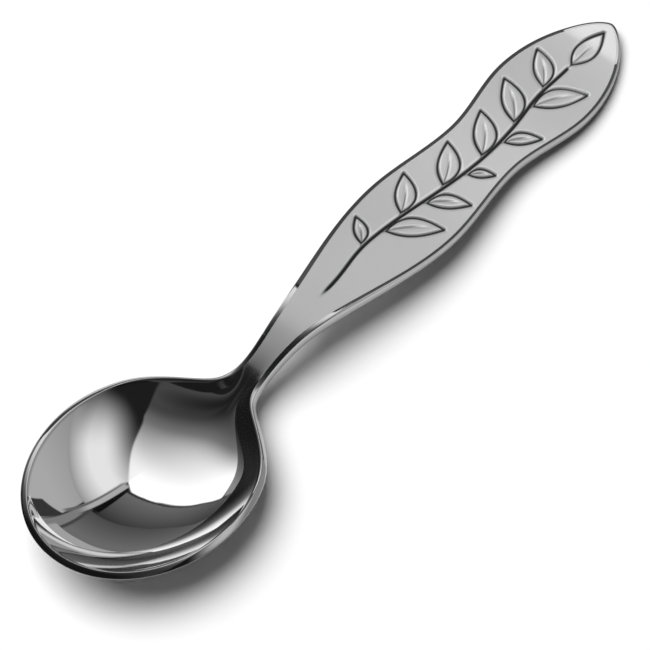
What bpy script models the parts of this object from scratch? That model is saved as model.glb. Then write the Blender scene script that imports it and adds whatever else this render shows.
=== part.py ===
"""A small table spoon, stamped from one strip of stainless steel.

The spoon lies as it rests between uses: +X runs from the bowl's tip to the handle's end,
+Y across, +Z up, and the origin is on the table under the middle of its length.
The steel is drawn as one plate. Its top face, its thickness and its outline are functions of
the place along and across the spoon, and the bowl, the neck and the handle are three stretches
of that plate which meet face to face on flat sections.
"""

import math

import bpy
import bmesh
from mathutils import Vector

MM = 0.001

# Whole spoon
SPOON_LENGTH = 150.0 * MM

# Bowl: the mouth is the oval edge of the inner face
MOUTH_LENGTH = 42.8 * MM
MOUTH_WIDTH = 34.9 * MM
BOWL_DEPTH = 7.3 * MM
BOWL_SHEET = 1.25 * MM
RIM_ROUND = 0.3 * MM
HOLLOW_LENGTH = 28.0 * MM
HOLLOW_SOFTNESS_SHARE = 0.08
THROAT_LENGTH = 12.3 * MM
THROAT_BLEND_LENGTH = 11.7 * MM
THROAT_SOFTNESS_SHARE = 0.23
WALL_STEEPNESS_SHARE = 0.3

# Neck
NECK_WIDTH = 5.4 * MM
NARROW_LENGTH = 6.3 * MM
NECK_THICKNESS = 3.0 * MM
NECK_LENGTH = 7.0 * MM
NECK_ROUND = 1.0 * MM
NECK_SWELL_LENGTH = 17.0 * MM

# Handle plate
HANDLE_THICKNESS = 2.2 * MM
HANDLE_ROUND = 0.75 * MM
HANDLE_CROWN = 0.25 * MM
HANDLE_THIN_LENGTH = 24.0 * MM
SWELL_WIDTH = 18.2 * MM
WAIST_WIDTH = 14.6 * MM
BROAD_WIDTH = 19.4 * MM
SWELL_SHARE = 0.394
WAIST_SHARE = 0.603
BROAD_SHARE = 0.791
END_POINT_POWER = 1.4

# Side view: heights of the top face over the table along the middle
TIP_HEIGHT = 10.7 * MM
RIM_FALL = 0.36 * MM
DIP_HEIGHT = 6.2 * MM
DIP_LENGTH = 3.5 * MM
RISE_HEIGHT = 9.2 * MM
CREST_HEIGHT = 8.9 * MM
SLOPE_HEIGHT = 5.8 * MM
LOW_HEIGHT = 3.8 * MM
END_LIFT = 0.35 * MM
REST_SINK = 0.1 * MM
RISE_SHARE = 0.04
CREST_SHARE = 0.15
SLOPE_SHARE = 0.44
LOW_SHARE = 0.70
REST_SHARE = 0.93

# Mesh steps
BOWL_STEPS = 38
NECK_STEPS = 6
HANDLE_STEPS = 32
END_STEPS = 12
HALF_ROWS = 8
EDGE_STEPS = 5
EDGE_POWER_SHARE = 0.62
SHARP_ANGLE = math.radians(40)
PROBE = 0.05 * MM
WELD = 0.001 * MM

# Places along X that follow from the sizes
WALL_SLOPE = 4 * BOWL_DEPTH * (1 + WALL_STEEPNESS_SHARE) / MOUTH_LENGTH
RIM_LEAN = BOWL_SHEET * WALL_SLOPE / math.hypot(1, WALL_SLOPE)
TIP_X = -SPOON_LENGTH / 2 + RIM_LEAN + RIM_ROUND
BOWL_X = TIP_X + MOUTH_LENGTH / 2
MOUTH_END_X = TIP_X + MOUTH_LENGTH
HOLLOW_END_X = BOWL_X + HOLLOW_LENGTH
NECK_X = MOUTH_END_X + THROAT_LENGTH
HANDLE_X = NECK_X + NECK_LENGTH
END_X = SPOON_LENGTH / 2 - HANDLE_ROUND
HANDLE_SPAN = END_X - NECK_X
SWELL_X = NECK_X + HANDLE_SPAN * SWELL_SHARE
WAIST_X = NECK_X + HANDLE_SPAN * WAIST_SHARE
BROAD_X = NECK_X + HANDLE_SPAN * BROAD_SHARE

# The bowl is lowest past its middle, where the rim has fallen a little
MOUTH_HEIGHT = BOWL_DEPTH + BOWL_SHEET + RIM_FALL - REST_SINK


def ease(share):
    """Smooth step from 0 to 1, level and without bend at both ends."""
    share = min(max(share, 0.0), 1.0)
    return share ** 3 * (share * (6.0 * share - 15.0) + 10.0)


def eased_table(x, table):
    """Value at x in a table of places and values, level at each of its places."""
    if x <= table[0][0]:
        return table[0][1]
    for (x0, v0), (x1, v1) in zip(table, table[1:]):
        if x <= x1:
            share = (x - x0) / (x1 - x0)
            return v0 + (v1 - v0) * share * share * (3.0 - 2.0 * share)
    return table[-1][1]


def smooth_table(x, table):
    """Value at x on a smooth curve through a table of places and values."""
    last = len(table) - 1
    slopes = []
    for i in range(last + 1):
        (x0, v0), (x1, v1) = table[max(i - 1, 0)], table[min(i + 1, last)]
        slopes.append((v1 - v0) / (x1 - x0))
    i = 0
    while i < last - 1 and x > table[i + 1][0]:
        i += 1
    (x0, v0), (x1, v1) = table[i], table[i + 1]
    span = x1 - x0
    t = (x - x0) / span
    start = (1 + 2 * t) * (1 - t) ** 2 * v0 + t * (1 - t) ** 2 * span * slopes[i]
    return start + t * t * (3 - 2 * t) * v1 + t * t * (t - 1) * span * slopes[i + 1]


def middle_height(x):
    """Height of the rim, the neck and the handle's top face in side view."""
    rest_height = HANDLE_THICKNESS - REST_SINK
    return smooth_table(x, (
        (TIP_X, TIP_HEIGHT),
        (BOWL_X, MOUTH_HEIGHT),
        (MOUTH_END_X + DIP_LENGTH, DIP_HEIGHT),
        (NECK_X + HANDLE_SPAN * RISE_SHARE, RISE_HEIGHT),
        (NECK_X + HANDLE_SPAN * CREST_SHARE, CREST_HEIGHT),
        (NECK_X + HANDLE_SPAN * SLOPE_SHARE, SLOPE_HEIGHT),
        (NECK_X + HANDLE_SPAN * LOW_SHARE, LOW_HEIGHT),
        (NECK_X + HANDLE_SPAN * REST_SHARE, rest_height),
        (END_X, rest_height + END_LIFT),
    ))


def edge_round(x):
    """How far the rounded edge stands out from the top face's outline."""
    return eased_table(x, (
        (BOWL_X, RIM_ROUND),
        (NECK_X, NECK_ROUND),
        (HANDLE_X, NECK_ROUND),
        (HANDLE_X + HANDLE_THIN_LENGTH, HANDLE_ROUND),
    ))


def thickness(x):
    """Thickness of the steel, from the thin bowl through the strong neck to the handle."""
    return eased_table(x, (
        (NECK_X - NECK_SWELL_LENGTH, BOWL_SHEET),
        (NECK_X, NECK_THICKNESS),
        (HANDLE_X, NECK_THICKNESS),
        (HANDLE_X + HANDLE_THIN_LENGTH, HANDLE_THICKNESS),
    ))


def throat(x):
    """Share of the throat's forms: none up to the bowl's middle, full where the mouth ends."""
    return ease((x - BOWL_X) / (MOUTH_END_X - BOWL_X))


def mouth_room(x):
    """Squared share of the mouth's width at x, running out softly through the throat."""
    along = (x - BOWL_X) / (MOUTH_LENGTH / 2)
    room = 1 - along * along
    soft = THROAT_SOFTNESS_SHARE * throat(x)
    fade_start = MOUTH_END_X - THROAT_BLEND_LENGTH
    fade = 1 - ease((x - fade_start) / (NECK_X - fade_start))
    return fade * (room + math.hypot(room, soft)) / 2


def hollow(x):
    """Depth of the hollow along the middle at x, as a share of the bowl's depth."""
    reach = MOUTH_LENGTH / 2 + (HOLLOW_LENGTH - MOUTH_LENGTH / 2) * throat(x)
    room = 1 - ((x - BOWL_X) / reach) ** 2
    soft = HOLLOW_SOFTNESS_SHARE * throat(x)
    fade = 1 - ease((x - HOLLOW_END_X) / (NECK_X - HOLLOW_END_X))
    return fade * (room + math.hypot(room, soft)) / 2


def half_width(x):
    """Half width of the top face's outline from the bowl's tip to the handle's broadest place."""
    outer = eased_table(x, (
        (MOUTH_END_X + NARROW_LENGTH, NECK_WIDTH / 2),
        (SWELL_X, SWELL_WIDTH / 2),
        (WAIST_X, WAIST_WIDTH / 2),
        (BROAD_X, BROAD_WIDTH / 2),
    ))
    plain = outer - edge_round(x)
    squared = (MOUTH_WIDTH / 2) ** 2 * mouth_room(x) + plain * plain * throat(x)
    return math.sqrt(max(0.0, squared))


def bowl_drop(x, y):
    """How far the top face lies below the rim inside the bowl."""
    squared = half_width(x) ** 2
    open_share = 1 - y * y / squared if squared > 0 else 0.0
    sunk = max(0.0, hollow(x)) * open_share
    return BOWL_DEPTH * sunk * (1 + WALL_STEEPNESS_SHARE * (1 - sunk))


def crown(x, y):
    """How far the handle's top face falls away from its middle line."""
    rise = HANDLE_CROWN * ease((x - NECK_X) / (SWELL_X - NECK_X))
    return rise * (2 * y / BROAD_WIDTH) ** 2


def top_point(x, y):
    """Point of the top face."""
    return Vector((x, y, middle_height(x) - bowl_drop(x, y) - crown(x, y)))


def face_normal(x, y):
    """Direction square to the top face, from slopes taken towards the bowl's middle."""
    here = top_point(x, y)
    if x < BOWL_X:
        along = top_point(x + PROBE, y) - here
    else:
        along = here - top_point(x - PROBE, y)
    across = here - top_point(x, y - PROBE) if y > PROBE else Vector((0, 1, 0))
    return along.cross(across).normalized()


def sheet_direction(x, y):
    """Direction through the steel: square to the bowl's face, upright along the handle."""
    upright = ease((x - BOWL_X) / (NECK_X - BOWL_X))
    if upright >= 1:
        return Vector((0, 0, 1))
    return face_normal(x, y).lerp(Vector((0, 0, 1)), upright).normalized()


def through_steel(x, y):
    """Vector from the top face to the face below it."""
    return sheet_direction(x, y) * (crown(x, y) - thickness(x))


def column_places():
    """Base and rim places of the columns, from the bowl's tip along to the handle's end."""
    columns = []
    for i in range(BOWL_STEPS + 1):
        x = TIP_X + (NECK_X - TIP_X) * (1 - math.cos(math.pi * i / BOWL_STEPS)) / 2
        share = max(0.0, (x - BOWL_X) / (NECK_X - BOWL_X))
        columns.append((BOWL_X + (NECK_X - BOWL_X) * share ** 2, x, half_width(x)))
    for i in range(1, NECK_STEPS + 1):
        x = NECK_X + NECK_LENGTH * i / NECK_STEPS
        columns.append((x, x, half_width(x)))
    for i in range(1, HANDLE_STEPS + 1):
        x = HANDLE_X + (BROAD_X - HANDLE_X) * i / HANDLE_STEPS
        columns.append((x, x, half_width(x)))
    for i in range(1, END_STEPS + 1):
        turn = math.pi / 2 * i / END_STEPS
        x = BROAD_X + (END_X - BROAD_X) * math.sin(turn)
        y = half_width(BROAD_X) * math.cos(turn) ** END_POINT_POWER if i < END_STEPS else 0.0
        columns.append((BROAD_X, x, y))
    return columns


def outward(columns, i):
    """Direction in which the edge stands out at a column."""
    base, x, y = columns[i]
    if NECK_X <= x <= BROAD_X:
        return Vector((0, 1, 0))
    if i in (0, len(columns) - 1):
        side = Vector((math.copysign(1, i - 1), 0, 0))
    else:
        before = columns[i - 1]
        after = columns[i + 1]
        side = Vector((before[2] - after[2], after[1] - before[1], 0)).normalized()
    if x > NECK_X:
        return side
    square = sheet_direction(x, y)
    return (side - square * side.dot(square)).normalized()


def column_profile(columns, i):
    """Points round one column, from the top face's middle over the edge to the underside."""
    base, x, y = columns[i]
    top = []
    under = []
    for j in range(HALF_ROWS + 1):
        share = math.sin(math.pi / 2 * j / HALF_ROWS)
        px = base + (x - base) * share
        py = y * share
        point = top_point(px, py)
        top.append(point)
        under.append(point + through_steel(px, py))
    middle = (top[-1] + under[-1]) / 2
    half = (top[-1] - under[-1]) / 2
    bulge = outward(columns, i) * edge_round(x)
    edge = []
    for j in range(1, EDGE_STEPS):
        turn = math.pi * j / EDGE_STEPS
        rise = math.copysign(abs(math.cos(turn)) ** EDGE_POWER_SHARE, math.cos(turn))
        edge.append(middle + half * rise + bulge * math.sin(turn) ** EDGE_POWER_SHARE)
    points = top + edge + under[::-1]
    for point in points:
        point.z = max(point.z, 0.0)
    return points


def steel(name, colour, roughness):
    """Principled material of a bare steel surface."""
    material = bpy.data.materials.new(name)
    material.use_nodes = True
    shader = material.node_tree.nodes["Principled BSDF"]
    shader.inputs["Base Color"].default_value = (*colour, 1.0)
    shader.inputs["Metallic"].default_value = 1.0
    shader.inputs["Roughness"].default_value = roughness
    return material


def plate_stretch(name, columns, first, last, material):
    """One closed stretch of the plate between two columns, with flat sections where it is cut."""
    bm = bmesh.new()
    for mirror in (1, -1):
        grid = []
        for i in range(first, last + 1):
            points = column_profile(columns, i)
            grid.append([bm.verts.new((p.x, p.y * mirror, p.z)) for p in points])
        for left, right in zip(grid, grid[1:]):
            for k in range(len(left) - 1):
                corners = (left[k], right[k], right[k + 1], left[k + 1])
                bm.faces.new(corners if mirror > 0 else corners[::-1])
    bmesh.ops.remove_doubles(bm, verts=bm.verts[:], dist=WELD)
    open_edges = [edge for edge in bm.edges if edge.is_boundary]
    if open_edges:
        bmesh.ops.holes_fill(bm, edges=open_edges)
    bmesh.ops.recalc_face_normals(bm, faces=bm.faces[:])
    mesh = bpy.data.meshes.new(name)
    bm.to_mesh(mesh)
    bm.free()
    mesh.shade_smooth()
    mesh.set_sharp_from_angle(angle=SHARP_ANGLE)
    mesh.materials.append(material)
    piece = bpy.data.objects.new(name, mesh)
    bpy.context.scene.collection.objects.link(piece)
    return piece


def main():
    for old in list(bpy.data.objects):
        bpy.data.objects.remove(old)
    polished = steel("mirror_polished_steel", (0.80, 0.79, 0.78), 0.06)
    satin = steel("satin_steel", (0.66, 0.66, 0.66), 0.34)
    columns = column_places()
    neck_start = BOWL_STEPS
    neck_end = neck_start + NECK_STEPS
    plate_stretch("bowl", columns, 0, neck_start, polished)
    plate_stretch("neck", columns, neck_start, neck_end, polished)
    plate_stretch("handle", columns, neck_end, len(columns) - 1, satin)


main()
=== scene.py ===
"""Looks of a small stainless steel table spoon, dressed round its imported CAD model.

The spoon is drawn again as one steel plate by the CAD model's formulas, much finer, and is split
into the same three stretches. The handle carries an engraved leaf sprig.
"""

import math

import bmesh
import bpy
import numpy as np
from bpy.props import FloatProperty, FloatVectorProperty, IntProperty, PointerProperty
from mathutils import Matrix, Vector


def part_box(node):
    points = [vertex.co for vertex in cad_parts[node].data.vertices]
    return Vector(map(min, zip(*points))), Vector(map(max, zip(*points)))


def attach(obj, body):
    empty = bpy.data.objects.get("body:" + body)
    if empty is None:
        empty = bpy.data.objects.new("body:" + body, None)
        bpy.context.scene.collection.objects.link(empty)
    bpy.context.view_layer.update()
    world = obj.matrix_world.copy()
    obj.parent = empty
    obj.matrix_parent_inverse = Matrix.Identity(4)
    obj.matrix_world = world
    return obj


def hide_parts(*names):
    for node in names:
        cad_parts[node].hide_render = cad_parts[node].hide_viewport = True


bl_info = {
    "name": "Steel spoon looks",
    "version": (1, 0, 0),
    "blender": (4, 5, 0),
    "location": "3D View > Sidebar > Spoon",
    "description": "Builds a polished spoon with a satin, leaf-engraved handle in its studio",
    "category": "Object",
}

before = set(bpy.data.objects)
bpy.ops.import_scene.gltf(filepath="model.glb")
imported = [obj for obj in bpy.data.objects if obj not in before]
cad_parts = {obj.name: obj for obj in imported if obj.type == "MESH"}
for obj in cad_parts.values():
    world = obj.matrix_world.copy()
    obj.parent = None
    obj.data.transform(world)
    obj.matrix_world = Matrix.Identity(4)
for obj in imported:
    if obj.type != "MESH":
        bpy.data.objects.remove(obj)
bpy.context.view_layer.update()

MM = 0.001

# Places along X that the frame fixes
NECK_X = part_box("neck")[0].x
HANDLE_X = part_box("neck")[1].x
HANDLE_TIP_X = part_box("handle")[1].x

# Mesh making: the step over which slopes are measured, the distance in metres within which two
# points are one, and a number that keeps a division from being by zero
PROBE = 0.05 * MM
WELD = 1e-7
TINY = 1e-12

# Section of the steel's edge: the powers of its round half and of its squarish half, how closely
# the mesh rows gather at its two corners, and how far the rim's upper half leans in
ROUND = 2.4
BOXY = 6.5
CORNER_GATHER = 1.8
RIM_LEAN = 0.5

# Length that the search for each leaf's own length starts from, and how often it is bettered
FIRST_REACH = 8 * MM
REACH_ROUNDS = 6

# Sockets of a Mix node: two colours and their mix, two numbers and their mix
COLOUR_A, COLOUR_B, COLOUR_MIX = 6, 7, 2
NUMBER_A, NUMBER_B, NUMBER_MIX = 2, 3, 0

# Camera: the photo's width in pixels, the usual sensor width in millimetres, and the near limit
PHOTO_PIXELS = 650
SENSOR_WIDTH = 36.0
NEAREST_SEEN = 10 * MM

# Lamps: azimuth and elevation that they shine from, and how wide they look, all in degrees
KEY_LAMP = (110, 67, 54)
FILL_LAMP = (-60, 67, 60)

# Tent of softboxes: how finely its ball is divided, and the light of its bare black cloth
TENT_DIVISIONS = 4
BLACK_CLOTH = 0.015


def length(name, description, millimetres):
    """Length property in metres with its default given in millimetres."""
    return FloatProperty(name=name, description=description, default=millimetres * MM,
                         min=0.0, precision=5, unit="LENGTH")


def share(name, description, value):
    """Plain number property."""
    return FloatProperty(name=name, description=description, default=value, precision=3)


def angle(name, description, degrees):
    """Angle property with its default given in degrees."""
    return FloatProperty(name=name, description=description, default=math.radians(degrees),
                         subtype="ANGLE")


def steps(name, description, number):
    """Whole number property for steps of the mesh."""
    return IntProperty(name=name, description=description, default=number, min=2)


def linear(code):
    """Linear colour of an sRGB hex code."""
    channels = [int(code[i:i + 2], 16) / 255 for i in (1, 3, 5)]
    return [c / 12.92 if c <= 0.04045 else ((c + 0.055) / 1.055) ** 2.4 for c in channels]


def tint(name, description, code):
    """Colour property with its default given as an sRGB hex code."""
    return FloatVectorProperty(name=name, description=description, default=linear(code),
                               min=0.0, max=1.0, size=3, subtype="COLOR")


class SpoonSizes(bpy.types.PropertyGroup):
    """Sizes of the steel: the CAD model's, but for a rounder rim, a mouth that is smaller by as
    much, and an end that lies flatter."""
    mouth_length: length("Mouth length", "Length of the bowl's inner oval", 42.57)
    mouth_width: length("Mouth width", "Width of the bowl's inner oval", 34.45)
    bowl_depth: length("Bowl depth", "Depth of the bowl below its rim", 7.3)
    bowl_sheet: length("Bowl sheet", "Thickness of the bowl's steel", 1.25)
    rim_round: length("Rim rounding", "How far the rounded rim stands out", 0.55)
    throat_length: length("Throat length", "From the mouth's end to the neck", 12.3)
    throat_blend: length("Throat blend", "Length over which the sides draw in", 11.7)
    throat_softness: share("Throat softness", "How softly the sides draw in", 0.23)
    hollow_length: length("Hollow length", "From the bowl's middle to the hollow's end", 28.0)
    hollow_softness: share("Hollow softness", "How softly the hollow runs out", 0.08)
    wall_steepness: share("Wall steepness", "How much steeper the wall is at the rim", 0.3)
    neck_width: length("Neck width", "Width of the neck's narrowest steel", 5.4)
    neck_narrow: length("Narrow place", "From the mouth's end to the narrowest place", 6.3)
    neck_thickness: length("Neck thickness", "Thickness of the neck", 3.0)
    neck_round: length("Neck rounding", "How far the neck's round edge stands out", 1.0)
    neck_swell: length("Neck swell", "Length over which the bowl's steel thickens", 17.0)
    handle_thickness: length("Handle thickness", "Thickness of the handle", 2.2)
    handle_round: length("Handle rounding", "How far the handle's edge stands out", 0.75)
    handle_crown: length("Handle crown", "How far the handle's face falls at its sides", 0.25)
    handle_thin: length("Handle thinning", "Length over which the neck's steel thins", 24.0)
    swell_width: length("Swell width", "Width at the handle's first swelling", 18.2)
    waist_width: length("Waist width", "Width at the handle's waist", 14.6)
    broad_width: length("Broad width", "Width at the handle's broadest place", 19.4)
    swell_share: share("Swell place", "Share of the way from neck to end", 0.394)
    waist_share: share("Waist place", "Share of the way from neck to end", 0.603)
    broad_share: share("Broad place", "Share of the way from neck to end", 0.791)
    end_point: share("End point", "How pointed the handle's end is", 1.4)
    tip_height: length("Tip height", "Height of the rim at the bowl's tip", 10.7)
    mouth_height: length("Mouth height", "Height of the rim at the bowl's middle", 8.81)
    dip_height: length("Dip height", "Lowest height of the rim, at the throat", 6.2)
    dip_length: length("Dip place", "From the mouth's end to the rim's lowest place", 3.5)
    rise_height: length("Rise height", "Height of the handle's start", 9.2)
    crest_height: length("Crest height", "Height of the handle's crest", 8.9)
    slope_height: length("Slope height", "Height of the handle past its crest", 5.8)
    low_height: length("Low height", "Height of the handle's low part", 3.8)
    rest_height: length("Rest height", "Height of the handle's face where it rests", 2.1)
    end_lift: length("End lift", "How far the handle's end lifts", 0.15)
    rise_share: share("Rise place", "Share of the way from neck to end", 0.04)
    crest_share: share("Crest place", "Share of the way from neck to end", 0.15)
    slope_share: share("Slope place", "Share of the way from neck to end", 0.44)
    low_share: share("Low place", "Share of the way from neck to end", 0.70)
    rest_share: share("Rest place", "Share of the way from neck to end", 0.93)
    bowl_columns: steps("Bowl columns", "Mesh steps along the bowl", 260)
    neck_columns: steps("Neck columns", "Mesh steps along the neck", 60)
    handle_columns: steps("Handle columns", "Mesh steps up to the broadest place", 430)
    end_columns: steps("End columns", "Mesh steps round the handle's end", 110)
    top_rows: steps("Top rows", "Mesh steps from the middle to each side", 56)
    edge_rows: steps("Edge rows", "Mesh steps round an edge", 16)
    under_rows: steps("Under rows", "Mesh steps below, from each side to the middle", 16)


class SprigSizes(bpy.types.PropertyGroup):
    """Sizes of the leaf sprig that is engraved in the handle."""
    stem_start: length("Stem start", "From the neck's end to the stem's foot", 3.0)
    stem_end: length("Stem end", "From the stem's top to the handle's tip", 13.5)
    stem_sway: length("Stem sway", "How far the stem swings to each side", 1.5)
    stem_wave: length("Stem wave", "Length of one swing to both sides", 62.0)
    stem_settle: share("Stem settle", "Share of the stem over which its sway grows", 0.25)
    stem_groove: length("Stem groove", "Width of the stem's groove", 1.35)
    stem_taper: length("Stem taper", "Length over which the stem's foot deepens", 5.0)
    stem_stop: length("Stem stop", "Length over which the stem's top runs out", 1.0)
    groove_depth: length("Groove depth", "Depth of the stem's groove", 0.36)
    leaf_groove: length("Leaf groove", "Width of a leaf's outline", 1.0)
    outline_depth: share("Outline depth", "Share of the stem's depth in an outline", 0.85)
    vein_groove: length("Vein groove", "Width of a leaf's vein", 0.75)
    vein_depth: share("Vein depth", "Share of the stem's depth in a vein", 0.6)
    vein_taper: length("Vein taper", "Length over which a vein's foot deepens", 0.8)
    vein_full: share("Full vein", "Share of a leaf along which its vein is full", 0.35)
    vein_fade: share("Vein fade", "Share of a leaf over which its vein runs out", 0.45)
    leaf_start: length("Leaf start", "From the neck's end to the first leaf", 17.0)
    leaf_step: length("Leaf step", "From one leaf to the next on the other side", 4.9)
    leaf_stalk: length("Leaf stalk", "From the stem to a leaf's base", 1.5)
    leaf_margin: length("Leaf margin", "From a leaf's point to the face's edge", 1.2)
    end_margin: length("End margin", "From the last leaf's point to the handle's tip", 2.64)
    leaf_longest: length("Longest leaf", "Greatest length of a side leaf", 11.5)
    leaf_bend: share("Leaf bend", "Bend of a leaf as a share of its length", 0.08)
    leaf_slim: share("Leaf width", "Width of a leaf as a share of its length", 0.4)
    leaf_full: share("Leaf fullness", "How full a leaf's foot is, against a plain bow", 1.18)
    leaf_lean: share("Leaf taper", "How much less full a leaf's point is", 0.36)
    leaf_angle: angle("Leaf angle", "Between stem and leaf", 40)


class SteelFinish(bpy.types.PropertyGroup):
    """Colours and finish of the steel, with painted shade on its edge and in its engraved lines.
    """
    mirror_tint: tint("Mirror tint", "Colour of the polished steel", "#E6E6E6")
    satin_tint: tint("Satin tint", "Colour of the satin steel", "#F0F0F0")
    # Painted shade: the rim and the handle's edge get a darker colour than the faces
    edge_shade_tint: tint("Edge shade tint", "Colour of the rim and of the handle's edge", "#B4B4B4")
    # Painted shade: engraved lines darken towards their bottom, from the pale depth to the dark
    # depth
    groove_shade_tint: tint("Groove shade tint", "Colour at the bottom of an engraved line", "#2E2E2E")
    groove_pale: length("Pale groove", "Depth at which a groove starts to darken", 0.05)
    groove_dark: length("Dark groove", "Depth at which a groove is darkest", 0.3)
    mirror_roughness: share("Mirror roughness", "Roughness of the polish", 0.035)
    blasted_roughness: share("Blasted roughness", "Roughness at the handle's start", 0.5)
    satin_roughness: share("Satin roughness", "Roughness of the rest of the handle", 0.26)
    early_roughness: share("Early roughness", "How much satin already looks fully rough", 0.25)
    blasted_matt: share("Blasted matt share", "Light scattered at the handle's start", 0.16)
    satin_matt: share("Satin matt share", "Light scattered by the rest of the handle", 0.33)
    satin_start: length("Satin start", "How far before the neck the satin starts", 7.5)
    satin_full: length("Satin full", "From the neck's start to the full satin", 0.5)
    satin_fine: length("Fine satin", "From the neck's start to the finest satin", 45.0)
    grit: length("Grit", "Width of the satin's pits", 0.12)
    grit_height: length("Grit height", "Height of the satin's relief", 0.02)
    grit_relief: share("Grit relief", "How strongly the relief shows", 0.12)
    grit_roughness: share("Grit roughness", "Roughness that the grit adds", 0.06)


class StudioSettings(bpy.types.PropertyGroup):
    """Camera and light of the studio."""
    camera_elevation: angle("Camera elevation", "Above the table", 56.5)
    camera_turn: angle("Camera turn", "Turned from the handle's line", 39.6)
    camera_distance: length("Camera distance", "From the camera to the spoon", 700.0)
    camera_aim: FloatVectorProperty(name="Camera aim", description="Point in the middle",
                                    default=(-6.57 * MM, -0.63 * MM, 0.0), subtype="XYZ")
    focal_pixels: FloatProperty(name="Focal length", description="In pixels of the photo",
                                default=4096.0)
    floor_size: length("Floor size", "Side of the square floor", 12000.0)
    paper_tint: tint("Paper tint", "Colour of the floor's paper where it is seen", "#FFFFFF")
    bounce_tint: tint("Bounce tint", "Colour of the paper for bounced light", "#CBCBCB")
    tent_radius: length("Tent radius", "From the spoon to the softboxes", 6000.0)
    key_strength: share("Key strength", "Sun-like lamp that throws the soft shadow", 3.33)
    fill_strength: share("Fill strength", "Wide lamp from the front", 0.12)
    softbox_level: share("Softbox level", "Brightness of the softboxes in the steel", 0.981)


def ease(part):
    """Smooth step from 0 to 1, level and without bend at both ends."""
    part = np.clip(part, 0.0, 1.0)
    return part ** 3 * (part * (6.0 * part - 15.0) + 10.0)


def eased_table(x, table):
    """Values at x in a table of places and values, level at each of its places."""
    value = np.full_like(x, table[0][1])
    for (x0, v0), (x1, v1) in zip(table, table[1:]):
        part = np.clip((x - x0) / (x1 - x0), 0.0, 1.0)
        value += (v1 - v0) * part * part * (3.0 - 2.0 * part)
    return value


def smooth_table(x, table):
    """Values at x on a smooth curve through a table of places and values."""
    last = len(table) - 1
    ends = [(table[max(i - 1, 0)], table[min(i + 1, last)]) for i in range(last + 1)]
    slopes = [(b[1] - a[1]) / (b[0] - a[0]) for a, b in ends]
    value = np.zeros_like(x)
    for i in range(last):
        (x0, v0), (x1, v1) = table[i], table[i + 1]
        span = x1 - x0
        t = (x - x0) / span
        start = (1 + 2 * t) * (1 - t) ** 2 * v0 + t * (1 - t) ** 2 * span * slopes[i]
        curve = start + t * t * (3 - 2 * t) * v1 + t * t * (t - 1) * span * slopes[i + 1]
        here = (x >= x0) if i else np.full(x.shape, True)
        value = np.where(here, curve, value)
    return value


def unit(vectors):
    """Vectors brought to length 1."""
    size = np.linalg.norm(vectors, axis=-1, keepdims=True)
    return vectors / np.maximum(size, TINY)


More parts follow.
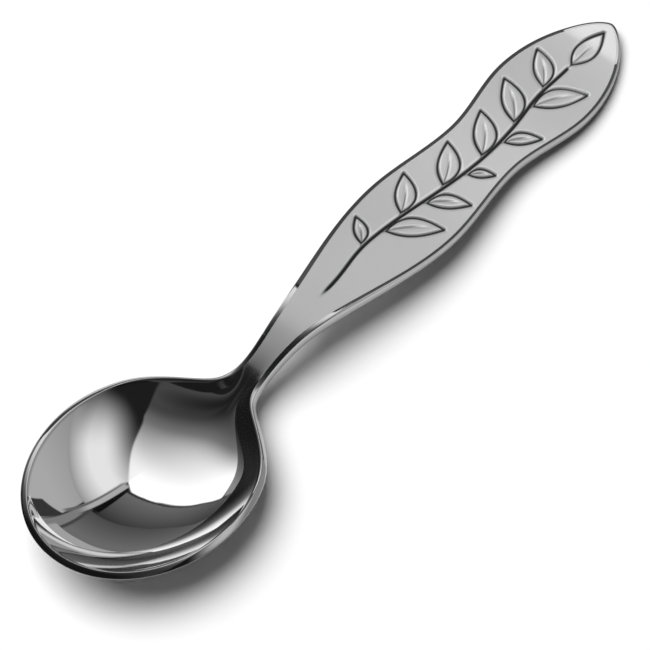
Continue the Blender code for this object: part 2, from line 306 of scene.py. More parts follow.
class Plate:
    """The spoon's steel as one plate: its outline, top face and thickness by formula."""

    def __init__(self, sizes):
        self.sizes = sizes
        self.mouth_end = NECK_X - sizes.throat_length
        self.tip = self.mouth_end - sizes.mouth_length
        self.bowl = self.tip + sizes.mouth_length / 2
        self.end = HANDLE_TIP_X - sizes.handle_round
        self.span = self.end - NECK_X
        self.broad = self.along(sizes.broad_share)

    def along(self, part):
        """Place at a share of the way from the neck to the handle's end."""
        return NECK_X + self.span * part

    def middle_height(self, x):
        """Height of the rim, the neck and the handle's top face in side view."""
        sizes = self.sizes
        return smooth_table(x, (
            (self.tip, sizes.tip_height),
            (self.bowl, sizes.mouth_height),
            (self.mouth_end + sizes.dip_length, sizes.dip_height),
            (self.along(sizes.rise_share), sizes.rise_height),
            (self.along(sizes.crest_share), sizes.crest_height),
            (self.along(sizes.slope_share), sizes.slope_height),
            (self.along(sizes.low_share), sizes.low_height),
            (self.along(sizes.rest_share), sizes.rest_height),
            (self.end, sizes.rest_height + sizes.end_lift),
        ))

    def edge_round(self, x):
        """How far the rounded edge stands out from the top face's outline."""
        sizes = self.sizes
        return eased_table(x, (
            (self.bowl, sizes.rim_round),
            (NECK_X, sizes.neck_round),
            (HANDLE_X, sizes.neck_round),
            (HANDLE_X + sizes.handle_thin, sizes.handle_round),
        ))

    def thickness(self, x):
        """Thickness of the steel, from the thin bowl through the strong neck to the handle."""
        sizes = self.sizes
        return eased_table(x, (
            (NECK_X - sizes.neck_swell, sizes.bowl_sheet),
            (NECK_X, sizes.neck_thickness),
            (HANDLE_X, sizes.neck_thickness),
            (HANDLE_X + sizes.handle_thin, sizes.handle_thickness),
        ))

    def throat(self, x):
        """Share of the throat's forms: none up to the bowl's middle, full at the mouth's end."""
        return ease((x - self.bowl) / (self.mouth_end - self.bowl))

    def mouth_room(self, x):
        """Squared share of the mouth's width at x, running out softly through the throat."""
        sizes = self.sizes
        room = 1 - ((x - self.bowl) / (sizes.mouth_length / 2)) ** 2
        soft = sizes.throat_softness * self.throat(x)
        fade_start = self.mouth_end - sizes.throat_blend
        fade = 1 - ease((x - fade_start) / (NECK_X - fade_start))
        return fade * (room + np.hypot(room, soft)) / 2

    def hollow(self, x):
        """Depth of the hollow along the middle at x, as a share of the bowl's."""
        sizes = self.sizes
        half = sizes.mouth_length / 2
        reach = half + (sizes.hollow_length - half) * self.throat(x)
        room = 1 - ((x - self.bowl) / reach) ** 2
        soft = sizes.hollow_softness * self.throat(x)
        hollow_end = self.bowl + sizes.hollow_length
        fade = 1 - ease((x - hollow_end) / (NECK_X - hollow_end))
        return np.maximum(fade * (room + np.hypot(room, soft)) / 2, 0.0)

    def half_width(self, x):
        """Half width of the top face's outline."""
        sizes = self.sizes
        outer = eased_table(x, (
            (self.mouth_end + sizes.neck_narrow, sizes.neck_width / 2),
            (self.along(sizes.swell_share), sizes.swell_width / 2),
            (self.along(sizes.waist_share), sizes.waist_width / 2),
            (self.broad, sizes.broad_width / 2),
        ))
        turn = np.clip((x - self.broad) / (self.end - self.broad), 0.0, 1.0)
        rounding = np.sqrt(1 - turn * turn) ** sizes.end_point
        plain = (outer - self.edge_round(x)) * rounding
        mouth = (sizes.mouth_width / 2) ** 2 * self.mouth_room(x)
        return np.sqrt(np.maximum(mouth + plain ** 2 * self.throat(x), 0.0))

    def crown(self, x, y):
        """How far the handle's top face falls away from its middle line."""
        sizes = self.sizes
        rise = sizes.handle_crown * ease((x - NECK_X) / (self.along(sizes.swell_share) - NECK_X))
        return rise * (2 * y / sizes.broad_width) ** 2

    def top_height(self, x, y):
        """Height of the plain top face."""
        sizes = self.sizes
        squared = np.maximum(self.half_width(x) ** 2, TINY)
        sunk = self.hollow(x) * np.clip(1 - y * y / squared, 0.0, 1.0)
        drop = sizes.bowl_depth * sunk * (1 + sizes.wall_steepness * (1 - sunk))
        return self.middle_height(x) - drop - self.crown(x, y)

    def sheet_direction(self, x, y):
        """Direction through the steel: square to the bowl's face, upright along the handle."""
        here = self.top_height(x, y)
        inward = np.where(x < self.bowl, PROBE, -PROBE)
        slope_x = (self.top_height(x + inward, y) - here) / inward
        slope_y = (here - self.top_height(x, y - PROBE)) / PROBE
        slope_y = np.where(y > PROBE, slope_y, 0.0)
        square = unit(np.stack((-slope_x, -slope_y, np.ones_like(x)), axis=-1))
        upright = ease((x - self.bowl) / (NECK_X - self.bowl))[..., None]
        return unit(square * (1 - upright) + np.array((0.0, 0.0, 1.0)) * upright)

    def columns(self):
        """Places of the mesh columns: where each starts in the middle, and where it ends.

        Columns gather at both ends of the spoon, and those of the throat fan out from the bowl.
        """
        sizes = self.sizes
        turn = np.linspace(0.0, np.pi, sizes.bowl_columns + 1)
        bowl = self.tip + (NECK_X - self.tip) * (1 - np.cos(turn)) / 2
        past = np.maximum(0.0, (bowl - self.bowl) / (NECK_X - self.bowl))
        fanned = self.bowl + (NECK_X - self.bowl) * past ** 2
        neck = np.linspace(NECK_X, HANDLE_X, sizes.neck_columns + 1)[1:]
        plain = np.linspace(HANDLE_X, self.broad, sizes.handle_columns + 1)[1:]
        turn = np.linspace(0.0, np.pi / 2, sizes.end_columns + 1)[1:]
        end = self.broad + (self.end - self.broad) * np.sin(turn)
        x = np.concatenate((bowl, neck, plain, end))
        base = np.concatenate((fanned, neck, plain, end))
        y = self.half_width(x)
        y[[0, -1]] = 0.0
        return base, x, y

    def edge_direction(self, x, y):
        """Direction in which the edge stands out at each column."""
        side = np.zeros((len(x), 3))
        side[1:-1, 0] = y[:-2] - y[2:]
        side[1:-1, 1] = x[2:] - x[:-2]
        side[0] = (-1, 0, 0)
        side[-1] = (1, 0, 0)
        straight = (x >= NECK_X) & (x <= self.broad)
        side[straight] = (0, 1, 0)
        side = unit(side)
        square = self.sheet_direction(x, y)
        leaned = unit(side - square * np.sum(side * square, axis=1)[:, None])
        return np.where((x < NECK_X)[:, None], leaned, side)

    def edge_profile(self, x):
        """How far out and up each row of the edge lies, as shares of its rounding and height.

        The rim is round above and squarish below, the handle's edge the other way round, and
        the rows gather at the two corners, where the squarish half turns most.
        """
        row = 4 * np.arange(1, self.sizes.edge_rows) / self.sizes.edge_rows
        corner = np.where(row < 2, 1, 3)
        off = row - corner
        turn = (corner + np.sign(off) * np.abs(off) ** CORNER_GATHER)[None, :] * np.pi / 4
        along = ease((x - self.bowl) / (HANDLE_X - self.bowl))
        below = BOXY * (1 - along) + ROUND * along
        power = np.where(turn > np.pi / 2, below, BOXY + ROUND - below)
        size = (np.sin(turn) ** power + np.abs(np.cos(turn)) ** power) ** (1 / power)
        rise = np.cos(turn) / size
        out = np.sin(turn) / size * (1 - RIM_LEAN * (1 - along) * (1 + rise) / 2)
        return out[..., None], rise[..., None]

    def face(self, base, x, y, rows):
        """Points of the top face and of the underside, from the middle to one side."""
        part = np.linspace(0.0, 1.0, rows + 1)[None, :]
        px = base + (x - base) * part
        py = y * part
        top = np.stack((px, py, self.top_height(px, py)), axis=-1)
        steel = (self.crown(px, py) - self.thickness(px))[..., None]
        return top, top + self.sheet_direction(px, py) * steel

    def rings(self, first, last, carve=None):
        """Points round the columns from first to last: over the top, round the edge and back.

        With them come two values for the material: the depth of the engraving in millimetres,
        which also sets the painted shade in the lines, and 1 on the faces that can be blasted, 0
        on the edge, which stays polished and gets painted shade.
        """
        sizes = self.sizes
        base, x, y = self.columns()
        outward = self.edge_direction(x, y)[first:last]
        base, x, y = (values[first:last, None] for values in (base, x, y))
        top, _ = self.face(base, x, y, sizes.top_rows)
        _, under = self.face(base, x, y, sizes.under_rows)
        middle = (top[:, -1:] + under[:, -1:]) / 2
        half = (top[:, -1:] - under[:, -1:]) / 2
        bulge = outward[:, None, :] * self.edge_round(x)[..., None]
        out, rise = self.edge_profile(x)
        edge = middle + half * rise + bulge * out
        near = np.concatenate((top, edge, under[:, ::-1]), axis=1)
        far = near[:, -2:0:-1] * np.array((1.0, -1.0, 1.0))
        ring = np.concatenate((near, far), axis=1)
        ring[..., 2] = np.maximum(ring[..., 2], 0.0)
        grooves = np.zeros(ring.shape[:2])
        if carve:
            on_top = np.ones(ring.shape[1], bool)
            on_top[sizes.top_rows + 1:-sizes.top_rows] = False
            grooves[:, on_top] = carve(ring[:, on_top, 0], ring[:, on_top, 1])
            ring[..., 2] -= grooves
        row = np.arange(ring.shape[1])
        row = np.minimum(row, ring.shape[1] - row)
        on_edge = (row >= sizes.top_rows) & (row <= sizes.top_rows + sizes.edge_rows)
        blasted = np.broadcast_to(np.where(on_edge, 0.0, 1.0), grooves.shape)
        return ring, {"engraving": grooves / MM, "blasted": blasted}


def groove(distance, width, depth):
    """Depth of a rounded groove at a distance from its middle line."""
    part = np.clip(np.abs(distance) / (width / 2), 0.0, 1.0)
    return depth * (1 + np.cos(np.pi * part)) / 2


class Sprig:
    """The engraved sprig: a swaying stem with leaves on alternate sides and one at its top."""

    def __init__(self, plate, sizes):
        self.plate = plate
        self.sizes = sizes
        self.start = HANDLE_X + sizes.stem_start
        self.stop = HANDLE_TIP_X - sizes.stem_end
        self.leaves = self.set_leaves()

    def stem_y(self, x):
        """How far the stem's middle line lies to the side at x."""
        sizes = self.sizes
        part = np.clip((x - self.start) / (self.stop - self.start), 0.0, 1.0)
        swing = np.sin(2 * np.pi * (x - self.start) / sizes.stem_wave)
        return sizes.stem_sway * swing * ease(np.minimum(part, 1 - part) / sizes.stem_settle)

    def stem_slope(self, x):
        """Slope of the stem's middle line at x."""
        return (self.stem_y(x + PROBE) - self.stem_y(x - PROBE)) / (2 * PROBE)

    def leaf_reach(self, foot, lean, side):
        """Length from the stem at which a leaf's point is a margin away from the face's edge."""
        sizes = self.sizes
        reach = FIRST_REACH
        for _ in range(REACH_ROUNDS):
            point_x = foot[0] + reach * math.cos(lean)
            room = float(self.plate.half_width(np.array(point_x))) - sizes.leaf_margin
            reach = (room - side * foot[1]) / abs(math.sin(lean))
        return min(reach, sizes.leaf_longest)

    def set_leaves(self):
        """Foot on the stem, lean, side and length of each leaf, the one at the top last."""
        sizes = self.sizes
        leaves = []
        side = 1
        x = HANDLE_X + sizes.leaf_start
        while x < self.stop - sizes.leaf_step / 2:
            lean = math.atan(float(self.stem_slope(np.array(x)))) + side * sizes.leaf_angle
            foot = np.array((x, float(self.stem_y(np.array(x)))))
            leaves.append((foot, lean, side, self.leaf_reach(foot, lean, side)))
            side = -side
            x += sizes.leaf_step
        top = np.array((self.stop, float(self.stem_y(np.array(self.stop)))))
        leaves.append((top, 0.0, 0, HANDLE_TIP_X - sizes.end_margin - self.stop))
        return leaves

    def leaf_depth(self, x, y, foot, lean, side, reach):
        """Depth of one leaf's outline and vein."""
        sizes = self.sizes
        dx = x - foot[0]
        dy = y - foot[1]
        along = dx * math.cos(lean) + dy * math.sin(lean)
        aside = dy * math.cos(lean) - dx * math.sin(lean)
        bow = np.clip(4 * along / reach * (1 - along / reach), 0, 1)
        aside = aside + side * sizes.leaf_bend * reach * bow
        blade = reach - sizes.leaf_stalk
        part = (along - sizes.leaf_stalk) / blade
        inside = np.clip(part, 0.0, 1.0)
        half = sizes.leaf_slim * blade / 2
        shape = 4 * inside * (1 - inside) * (sizes.leaf_full - sizes.leaf_lean * inside)
        steep = np.hypot(1, half / blade * 4 * (1 - 2 * inside))
        off = (np.abs(aside) - half * shape) / steep
        beyond = np.maximum(np.maximum(-part, part - 1), 0.0) * blade
        outline = groove(np.hypot(off, beyond), sizes.leaf_groove,
                         sizes.outline_depth * sizes.groove_depth)
        vein = groove(aside, sizes.vein_groove, sizes.vein_depth * sizes.groove_depth)
        vein = vein * ease(along / sizes.vein_taper)
        vein = vein * (1 - ease((part - sizes.vein_full) / sizes.vein_fade))
        return np.maximum(outline, np.where(along > 0, vein, 0.0))

    def depth(self, x, y):
        """Depth of the engraving at places on the handle's face."""
        sizes = self.sizes
        slope = np.cos(np.arctan(self.stem_slope(x)))
        found = groove((y - self.stem_y(x)) * slope, sizes.stem_groove, sizes.groove_depth)
        found = found * ease((x - self.start) / sizes.stem_taper)
        found = found * (1 - ease((x - self.stop) / sizes.stem_stop))
        for leaf in self.leaves:
            found = np.maximum(found, self.leaf_depth(x, y, *leaf))
        return found


def weld(ring):
    """Number of each ring point once points that meet are one, and which point each number is."""
    keys = np.round(ring.reshape(-1, 3) / WELD).astype(np.int64)
    _, picked, index = np.unique(keys, axis=0, return_index=True, return_inverse=True)
    return index.reshape(ring.shape[:2]), picked


def point_normals(points, quads):
    """Normals of the points from all faces round them, large faces counting more."""
    corners = quads.reshape(-1, 4)
    a, b, c, d = (points[corners[:, k]] for k in range(4))
    facing = np.cross(c - a, d - b)
    normals = np.zeros_like(points)
    for k in range(4):
        np.add.at(normals, corners[:, k], facing)
    return unit(normals)


def mesh_of(name, plate, first, last, carve=None):
    """Closed mesh of the plate from one column to another, with the normals of the whole plate.

    One more ring at each side is worked out, so that the shading runs on across the joints.
    """
    end = len(plate.columns()[1]) - 1
    low = max(first - 1, 0)
    high = min(last + 1, end)
    ring, surface = plate.rings(low, high + 1, carve)
    index, picked = weld(ring)
    points = ring.reshape(-1, 3)[picked]
    quads = np.stack((index[:-1], index[1:], np.roll(index[1:], -1, 1),
                      np.roll(index[:-1], -1, 1)), axis=-1)
    normals = point_normals(points, quads)
    sides = []
    for quad in quads[first - low:last - low].reshape(-1, 4).tolist():
        face = [v for k, v in enumerate(quad) if v != quad[k - 1]]
        if len(face) > 2:
            sides.append(face)
    caps = []
    if first > 0:
        caps.append((index[first - low].tolist(), (-1.0, 0.0, 0.0)))
    if last < end:
        caps.append((index[last - low].tolist()[::-1], (1.0, 0.0, 0.0)))
    faces = sides + [cap for cap, _ in caps]
    used = np.unique(np.concatenate([np.array(face) for face in faces]))
    renumber = np.zeros(len(points), int)
    renumber[used] = np.arange(len(used))
    mesh = bpy.data.meshes.new(name)
    mesh.from_pydata(points[used].tolist(), [], [renumber[face].tolist() for face in faces])
    mesh.shade_smooth()
    loops = [normals[v] for face in sides for v in face]
    for cap, facing in caps:
        loops += [facing] * len(cap)
    mesh.normals_split_custom_set([tuple(n) for n in loops])
    for key, values in surface.items():
        attribute = mesh.attributes.new(key, "FLOAT", "POINT")
        values = values.reshape(-1)[picked][used]
        attribute.data.foreach_set("value", values.astype(np.float32))
    mesh.update()
    return mesh


def place(mesh, node_name, material):
    """Puts a mesh in the scene in place of a CAD node."""
    piece = bpy.data.objects.new(f"{node_name}_steel", mesh)
    bpy.context.scene.collection.objects.link(piece)
    mesh.materials.append(material)
    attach(piece, "root")
    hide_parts(node_name)
    return piece


def node(tree, kind, inputs=None, **settings):
    """Adds a node with its settings, and its inputs as values or as links from sockets."""
    made = tree.nodes.new(kind)
    for name, value in settings.items():
        setattr(made, name, value)
    for name, value in (inputs or {}).items():
        if isinstance(value, bpy.types.NodeSocket):
            tree.links.new(value, made.inputs[name])
        else:
            made.inputs[name].default_value = value
    return made


def new_material(name):
    """Empty node material: its tree and its output node."""
    material = bpy.data.materials.new(name)
    material.use_nodes = True
    tree = material.node_tree
    tree.nodes.clear()
    return material, tree, node(tree, "ShaderNodeOutputMaterial")


def opaque(colour):
    """Colour with full cover, as a colour socket takes it."""
    return (*colour, 1.0)


def mirror_polished_steel(finish):
    """18/10 stainless steel, pressed and buffed to a mirror.

    The eye sees the room in it, sharp and in neutral greys, and the metal itself hardly at all.
    """
    return stainless_steel(finish, "mirror_polished_steel")


def buffed_steel(finish):
    """The same steel where the buffing runs out into the satin.

    The eye sees the reflections lose their edges within a few millimetres.
    """
    return stainless_steel(finish, "buffed_steel")


def satin_steel(finish):
    """The same steel, glass-bead blasted and then tumbled, with engraved lines.

    The eye sees an even soft grey that holds no image, paler and finer towards the end, dark lines
    in it, and a polished edge round it; lines and edge carry painted shade.
    """
    return stainless_steel(finish, "satin_steel")


def stainless_steel(finish, name):
    """Nodes of the whole spoon's steel, whose finish changes along it from polish to satin."""
    material, tree, output = new_material(name)
    position = node(tree, "ShaderNodeTexCoord").outputs["Object"]
    axes = node(tree, "ShaderNodeSeparateXYZ", {"Vector": position})
    reached = node(tree, "ShaderNodeMapRange", {
        "Value": axes.outputs["X"], "From Min": NECK_X - finish.satin_start,
        "From Max": NECK_X + finish.satin_full}, interpolation_type="SMOOTHSTEP").outputs["Result"]
    blasted = node(tree, "ShaderNodeAttribute", attribute_name="blasted").outputs["Fac"]
    satin = node(tree, "ShaderNodeMath", {0: reached, 1: blasted},
                 operation="MULTIPLY").outputs[0]
    # Roughness: the image blurs before the colour changes, and the blasted start of the handle is
    # coarser than its end
    fine = node(tree, "ShaderNodeMapRange", {
        "Value": axes.outputs["X"], "From Min": NECK_X + finish.satin_full,
        "From Max": NECK_X + finish.satin_fine, "To Min": finish.blasted_roughness,
        "To Max": finish.satin_roughness}, interpolation_type="SMOOTHSTEP").outputs["Result"]
    rough = node(tree, "ShaderNodeMapRange", {
        "Value": satin, "From Max": finish.early_roughness, "To Min": finish.mirror_roughness,
        "To Max": fine})
    # Matt share: pits scatter some light every way, so the satin stays grey in front of black
    matt = node(tree, "ShaderNodeMapRange", {
        "Value": axes.outputs["X"], "From Min": NECK_X + finish.satin_full,
        "From Max": NECK_X + finish.satin_fine, "To Min": -finish.blasted_matt,
        "To Max": -finish.satin_matt}, interpolation_type="SMOOTHSTEP").outputs["Result"]
    metal = node(tree, "ShaderNodeMath", {0: matt, 1: satin, 2: 1.0}, operation="MULTIPLY_ADD")
    # Grit: real pits are a few hundredths of a millimetre wide, too fine to show, so they are
    # drawn as coarse as they need to be
    grain = node(tree, "ShaderNodeTexNoise", {
        "Vector": position, "Scale": 1 / finish.grit, "Detail": 2.0}).outputs["Fac"]
    grit = node(tree, "ShaderNodeMath", {0: grain, 1: satin}, operation="MULTIPLY").outputs[0]
    worn = node(tree, "ShaderNodeMath", {
        0: grit, 1: finish.grit_roughness, 2: rough.outputs["Result"]}, operation="MULTIPLY_ADD")
    bump = node(tree, "ShaderNodeBump", {
        "Height": grit, "Strength": finish.grit_relief, "Distance": finish.grit_height})
    # Colour: painted shade, as the rim and the handle's edge are tinted darker than the faces, and
    # engraved lines are tinted darker the deeper they are
    body = node(tree, "ShaderNodeMix", {
        "Factor": satin, COLOUR_A: opaque(finish.mirror_tint),
        COLOUR_B: opaque(finish.satin_tint)}, data_type="RGBA")
    # Painted shade on the rim and the handle's edge, where blasted is 0
    faces = node(tree, "ShaderNodeMix", {
        "Factor": blasted, COLOUR_A: opaque(finish.edge_shade_tint),
        COLOUR_B: body.outputs[COLOUR_MIX]}, data_type="RGBA")
    depth = node(tree, "ShaderNodeAttribute", attribute_name="engraving").outputs["Fac"]
    dark = node(tree, "ShaderNodeMapRange", {
        "Value": depth, "From Min": finish.groove_pale / MM,
        "From Max": finish.groove_dark / MM}, interpolation_type="SMOOTHSTEP")
    # Painted shade in the engraved lines, darker the deeper they are
    colour = node(tree, "ShaderNodeMix", {
        "Factor": dark.outputs["Result"], COLOUR_A: faces.outputs[COLOUR_MIX],
        COLOUR_B: opaque(finish.groove_shade_tint)}, data_type="RGBA")
    shader = node(tree, "ShaderNodeBsdfPrincipled", {
        "Base Color": colour.outputs[COLOUR_MIX], "Metallic": metal.outputs[0],
        "Roughness": worn.outputs[0], "Normal": bump.outputs["Normal"]})
    tree.links.new(shader.outputs[0], output.inputs[0])
    return material


def direction(azimuth, elevation):
    """Unit vector of a direction given in degrees."""
    a = math.radians(azimuth)
    e = math.radians(elevation)
    return Vector((math.cos(a) * math.cos(e), math.sin(a) * math.cos(e), math.sin(e)))


# Softboxes and flags as the spoon sees them, painted one over the other. Each has its brightness,
# a place inside it, and its edges: two places on the edge and the edge's fade. Places are azimuth
# and elevation in degrees. A fading box gives its bright level, the way in which it dims, the
# angles at which that starts and ends, and how fast it goes. Three edges are shared: the ceiling's
# two, and the one between the ceiling and the wall beside the spoon.
FRONT_EDGE = (10, 58.7, -71, 58.2, 0.5)
BACK_EDGE = (-71.5, 58.1, -120, 28.9, 0.7)
WALL_EDGE = (74, 13.5, 95, 19.3, 0.6)
CARDS = (
    ("ceiling", (0.5, (180, 24), -4, 51, 3), (0, 85), (FRONT_EDGE, BACK_EDGE, WALL_EDGE)),
    ("main softbox", 1.55, (45, 50), (FRONT_EDGE, WALL_EDGE, (61.4, 44.8, 0, 64.8, 11))),
    ("back corner", (0.055, (-170, 45), 48, 68, 1), (-120, 50), (
        (-85, 0, -95, 60, 12), BACK_EDGE, (180, 10, 180, 60, 8))),
    ("top light", (0.02, (139, -30), -2, 24, 1.5), (139, 55), (
        (108, 0, 108, 60, 6), (165, 0, 165, 60, 12), (100, 62, 160, 66, 6))),
    ("back softbox", 1.0, (150, 5), (
        (120, 19, 178, 13, 4), (124, 0, 124, 60, 7), (-165, 0, -165, 60, 8))),
    ("side wall", (0.3, (118, 10), 47, 76, 1.3), (85, 5), (WALL_EDGE, (71, 12, 71, 0, 0.8))),
    ("low softbox", (0.48, (171, 11), -60, 40, 1.25), (-25, 15), (
        (-78, 0, -78, 30, 18), (0.4, -6, 0, 33, 0.6), (-59, 25, 0, 37.5, 4.3))),
    ("side softbox", (0.97, (-3, -55), -13, 8, 1), (-35, 45), (
        (-67, 34, -73, 58, 20), (-59, 21, 0, 34.7, 0.8), (2, 33, 14, 57, 0.6),
        (-59, 52.2, 12, 59.3, 7))),
    ("softbox frame", 0.03, (35, 30), (
        (20.7, 52.7, 40.2, 46.4, 0.3), (47.6, 42.1, 61.4, 28, 0.3), (64.3, 24.3, 70, 12.5, 0.3),
        (12, 36, 14, 46, 0.5))),
    ("grey screen", (0.165, (-2, -36), 0, 23, 1.2), (35, 30), (
        (20.7, 51.4, 40.2, 45.1, 0.3), (47.6, 40.8, 61.4, 26.8, 0.3), (64.3, 23, 70, 11.3, 0.3),
        (14, 36, 20.3, 52.3, 0.4))),
    ("screen foot", (0.165, (-175, 56), -20, 15, 1), (35, 10), (
        (14.8, 33.5, 33.5, 30.5, 0.4), (39.3, 28.7, 52, 21.5, 0.4), (52, 21.5, 59.4, 12.8, 0.4),
        (8.2, 36, 7, 7, 0.5))),
    ("stand line", 0.07, (8, 20), (
        (7, 7, 7, 27, 0.5), (9, 7, 9.2, 27, 0.8), (0, 36, 20, 36, 0.8))),
    ("gap", 0.006, (13, 42), (
        (17.7, 53.7, 8.2, 35.9, 0.3), (20.3, 52.3, 14, 36, 0.3), (8, 35.4, 13, 35.4, 0.4),
        (14, 55.5, 20.7, 51.9, 0.4))),
    ("light stand", 0.249, (3, 12), (
        (0.7, -5, 1.5, 28, 0.5), (7.2, -5, 7, 27, 0.5), (-3, 30.4, 12, 30.4, 6))),
    ("light stand top", 0.5, (5, 40), (
        (0.5, 28, 6, 48, 0.5), (8.2, 35.9, 17.7, 53.7, 0.4), (-3, 30, 12, 30, 6),
        (4, 55.4, 18, 55.1, 1))),
    ("upper line", 0.15, (3, 36), (
        (-0.2, 28, 7.3, 48.8, 0.4), (2.2, 28, 9, 49, 0.4), (-3, 20, 10, 20, 3),
        (4, 56, 18, 56, 1))),
    ("stand foot", 0.043, (-4, 6), (
        (-11, 0, -11, 8, 0.5), (-9.6, 9.6, 1, 18.1, 0.5), (0.9, 16, 0, 0, 0.5))),
    ("paper sweep", 0.44, (15, 0), (
        (9, 7.8, 22, 7.8, 0.5), (17.1, 8.5, 33.4, 4.5, 0.5), (39.5, 0, 39.5, 10, 6),
        (5, 0, 5, 10, 1))),
)


def card_light(tree, look, value):
    """Brightness of a card: one number, or a level that dims along a direction."""
    if not isinstance(value, tuple):
        return value
    bright, way, start, stop, power = value
    dot = node(tree, "ShaderNodeVectorMath", {0: look, 1: tuple(direction(*way))},
               operation="DOT_PRODUCT").outputs["Value"]
    fall = node(tree, "ShaderNodeMapRange", {
        "Value": dot, "From Min": math.sin(math.radians(start)),
        "From Max": math.sin(math.radians(stop)), "To Min": 1.0, "To Max": 0.0}).outputs["Result"]
    curved = node(tree, "ShaderNodeMath", {0: fall, 1: power}, operation="POWER").outputs[0]
    return node(tree, "ShaderNodeMath", {0: curved, 1: bright, 2: BLACK_CLOTH},
                operation="MULTIPLY_ADD").outputs[0]


def card_mask(tree, look, inside, edges):
    """1 inside a card and 0 outside it, with a soft step at each of its edges."""
    mask = None
    for az1, el1, az2, el2, fade in edges:
        square = direction(az1, el1).cross(direction(az2, el2)).normalized()
        if square.dot(direction(*inside)) < 0:
            square = -square
        dot = node(tree, "ShaderNodeVectorMath", {0: look, 1: tuple(square)},
                   operation="DOT_PRODUCT").outputs["Value"]
        width = math.sin(math.radians(fade))
        edge = node(tree, "ShaderNodeMapRange", {
            "Value": dot, "From Min": -width, "From Max": width},
            interpolation_type="SMOOTHSTEP").outputs["Result"]
        mask = edge if mask is None else node(
            tree, "ShaderNodeMath", {0: mask, 1: edge}, operation="MULTIPLY").outputs[0]
    return mask


def softbox_fabric(settings):
    """Lit diffuser fabric and black flags, painted by direction from the spoon.

    The eye never sees them, only their soft-edged images in the polished bowl. They go dark for
    light that was scattered before, and aren't picked as lamps, so only the sun-like lamps light
    the paper.
    """
    material, tree, output = new_material("softbox_fabric")
    position = node(tree, "ShaderNodeTexCoord").outputs["Object"]
    look = node(tree, "ShaderNodeVectorMath", {0: position},
                operation="NORMALIZE").outputs["Vector"]
    level = BLACK_CLOTH
    for name, value, inside, edges in CARDS:
        level = node(tree, "ShaderNodeMix", {
            "Factor": card_mask(tree, look, inside, edges), NUMBER_A: level,
            NUMBER_B: card_light(tree, look, value)},
            data_type="FLOAT", label=name).outputs[NUMBER_MIX]
    scattered = node(tree, "ShaderNodeLightPath").outputs["Diffuse Depth"]
    direct = node(tree, "ShaderNodeMapRange", {
        "Value": scattered, "To Min": settings.softbox_level, "To Max": 0.0}).outputs["Result"]
    shown = node(tree, "ShaderNodeMath", {0: level, 1: direct}, operation="MULTIPLY")
    glow = node(tree, "ShaderNodeEmission", {"Strength": shown.outputs[0]})
    tree.links.new(glow.outputs[0], output.inputs[0])
    material.cycles.emission_sampling = "NONE"
    return material


def studio_tent(settings):
    """Tent of softboxes and flags, which only the steel shows."""
    bm = bmesh.new()
    bmesh.ops.create_icosphere(bm, subdivisions=TENT_DIVISIONS, radius=settings.tent_radius)
    mesh = bpy.data.meshes.new("studio_tent")
    bm.to_mesh(mesh)
    bm.free()
    tent = bpy.data.objects.new("studio_tent", mesh)
    bpy.context.scene.collection.objects.link(tent)
    for kind in ("camera", "diffuse", "transmission", "volume_scatter", "shadow"):
        setattr(tent, f"visible_{kind}", False)
    mesh.materials.append(softbox_fabric(settings))
    return tent


def sees_white(tree):
    """Light path node, and 1 for the rays that see the white background, 0 for the others."""
    path = node(tree, "ShaderNodeLightPath")
    seen = path.outputs["Is Camera Ray"]
    for kind in ("Is Glossy Ray", "Is Transmission Ray"):
        seen = node(tree, "ShaderNodeMath", {0: seen, 1: path.outputs[kind]},
                    operation="MAXIMUM").outputs[0]
    return path, seen


def studio_world(settings):
    """White surroundings behind the paper, for the camera, metal and glass."""
    world = bpy.data.worlds.new("studio")
    bpy.context.scene.world = world
    world.use_nodes = True
    tree = world.node_tree
    tree.nodes.clear()
    _, seen = sees_white(tree)
    white = node(tree, "ShaderNodeBackground", {
        "Color": opaque(settings.paper_tint), "Strength": seen})
    node(tree, "ShaderNodeOutputWorld", {"Surface": white.outputs[0]})


def matt_studio_paper(settings):
    """Seamless background paper, uncoated.

    The eye sees plain white without gloss, and the spoon's soft shadow on it. Light that has
    already been scattered by the paper meets a greyer one, so the shadow doesn't fill up.
    """
    material, tree, output = new_material("matt_studio_paper")
    path, seen = sees_white(tree)
    first = node(tree, "ShaderNodeMath", {0: seen, 1: path.outputs["Diffuse Depth"]},
                 operation="SUBTRACT", use_clamp=True)
    colour = node(tree, "ShaderNodeMix", {
        "Factor": first.outputs[0], COLOUR_A: opaque(settings.bounce_tint),
        COLOUR_B: opaque(settings.paper_tint)}, data_type="RGBA")
    shader = node(tree, "ShaderNodeBsdfDiffuse", {"Color": colour.outputs[COLOUR_MIX]})
    tree.links.new(shader.outputs[0], output.inputs[0])
    return material


def pale_floor(settings):
    """Square of white studio paper that the spoon lies on."""
    size = settings.floor_size / 2
    mesh = bpy.data.meshes.new("floor")
    mesh.from_pydata([(-size, -size, 0), (size, -size, 0), (size, size, 0), (-size, size, 0)],
                     [], [(0, 1, 2, 3)])
    floor = bpy.data.objects.new("floor", mesh)
    bpy.context.scene.collection.objects.link(floor)
    mesh.materials.append(matt_studio_paper(settings))
    return floor


def lamp(name, azimuth, elevation, width, strength):
    """Sun-like lamp with a wide disc, which lights the paper and the matt share of the satin, and
    has no image in the steel."""
    light = bpy.data.lights.new(name, "SUN")
    light.energy = strength
    light.angle = math.radians(width)
    holder = bpy.data.objects.new(name, light)
    bpy.context.scene.collection.objects.link(holder)
    holder.rotation_euler = direction(azimuth, elevation).to_track_quat("Z", "Y").to_euler()
    holder.visible_glossy = False
    return holder


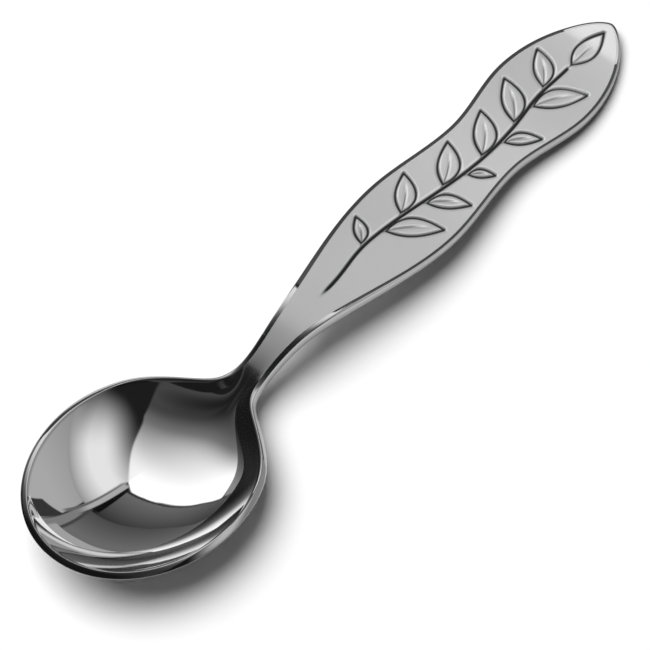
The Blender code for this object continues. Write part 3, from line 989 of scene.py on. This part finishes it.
def photo_camera(settings):
    """Camera where the photo was taken from."""
    e = settings.camera_elevation
    turn = settings.camera_turn
    back = Vector((-math.cos(turn) * math.cos(e), -math.sin(turn) * math.cos(e), math.sin(e)))
    right = Vector((math.sin(turn), -math.cos(turn), 0))
    up = back.cross(right)
    data = bpy.data.cameras.new("photo_camera")
    data.sensor_width = SENSOR_WIDTH
    data.lens = settings.focal_pixels * SENSOR_WIDTH / PHOTO_PIXELS
    data.clip_start = NEAREST_SEEN
    camera = bpy.data.objects.new("photo_camera", data)
    bpy.context.scene.collection.objects.link(camera)
    spot = Vector(settings.camera_aim) + back * settings.camera_distance
    turned = Matrix((right, up, back)).transposed().to_4x4()
    camera.matrix_world = Matrix.Translation(spot) @ turned
    bpy.context.scene.camera = camera
    return camera


class SPOON_OT_stage(bpy.types.Operator):
    """Sets up the paper, the lamps, the softboxes and the camera"""
    bl_idname = "spoon.stage"
    bl_label = "Studio"

    def execute(self, context):
        settings = context.scene.spoon_studio
        pale_floor(settings)
        lamp("key", *KEY_LAMP, settings.key_strength)
        lamp("fill", *FILL_LAMP, settings.fill_strength)
        studio_tent(settings)
        studio_world(settings)
        photo_camera(settings)
        context.scene.view_settings.view_transform = "Standard"
        return {"FINISHED"}


class SPOON_OT_bowl(bpy.types.Operator):
    """Builds the mirror-polished bowl"""
    bl_idname = "spoon.bowl"
    bl_label = "Bowl"

    def execute(self, context):
        scene = context.scene
        sizes = scene.spoon_sizes
        mesh = mesh_of("bowl", Plate(sizes), 0, sizes.bowl_columns)
        place(mesh, "bowl", mirror_polished_steel(scene.spoon_finish))
        return {"FINISHED"}


class SPOON_OT_neck(bpy.types.Operator):
    """Builds the neck, whose polish turns to satin"""
    bl_idname = "spoon.neck"
    bl_label = "Neck"

    def execute(self, context):
        scene = context.scene
        sizes = scene.spoon_sizes
        first = sizes.bowl_columns
        mesh = mesh_of("neck", Plate(sizes), first, first + sizes.neck_columns)
        place(mesh, "neck", buffed_steel(scene.spoon_finish))
        return {"FINISHED"}


class SPOON_OT_handle(bpy.types.Operator):
    """Builds the satin handle with its engraved sprig"""
    bl_idname = "spoon.handle"
    bl_label = "Handle"

    def execute(self, context):
        scene = context.scene
        sizes = scene.spoon_sizes
        plate = Plate(sizes)
        first = sizes.bowl_columns + sizes.neck_columns
        last = first + sizes.handle_columns + sizes.end_columns
        mesh = mesh_of("handle", plate, first, last, Sprig(plate, scene.spoon_sprig).depth)
        place(mesh, "handle", satin_steel(scene.spoon_finish))
        return {"FINISHED"}


class SPOON_PT_panel(bpy.types.Panel):
    """Lists the pieces and their settings"""
    bl_idname = "SPOON_PT_panel"
    bl_label = "Spoon"
    bl_space_type = "VIEW_3D"
    bl_region_type = "UI"
    bl_category = "Spoon"

    def draw(self, context):
        for made in OPERATORS:
            self.layout.operator(made.bl_idname)
        for name, kind in GROUPS.items():
            group = getattr(context.scene, name)
            box = self.layout.box()
            for key in kind.__annotations__:
                box.prop(group, key)


OPERATORS = (SPOON_OT_stage, SPOON_OT_bowl, SPOON_OT_neck, SPOON_OT_handle)
GROUPS = {
    "spoon_sizes": SpoonSizes,
    "spoon_sprig": SprigSizes,
    "spoon_finish": SteelFinish,
    "spoon_studio": StudioSettings,
}


def register():
    for cls in (*GROUPS.values(), *OPERATORS, SPOON_PT_panel):
        bpy.utils.register_class(cls)
    for name, group in GROUPS.items():
        setattr(bpy.types.Scene, name, PointerProperty(type=group))


def unregister():
    for name in GROUPS:
        delattr(bpy.types.Scene, name)
    for cls in (SPOON_PT_panel, *OPERATORS, *GROUPS.values()):
        bpy.utils.unregister_class(cls)


def main():
    """Builds the studio and every piece."""
    register()
    bpy.ops.spoon.stage()
    bpy.ops.spoon.bowl()
    bpy.ops.spoon.neck()
    bpy.ops.spoon.handle()


if __name__ == "__main__":
    main()
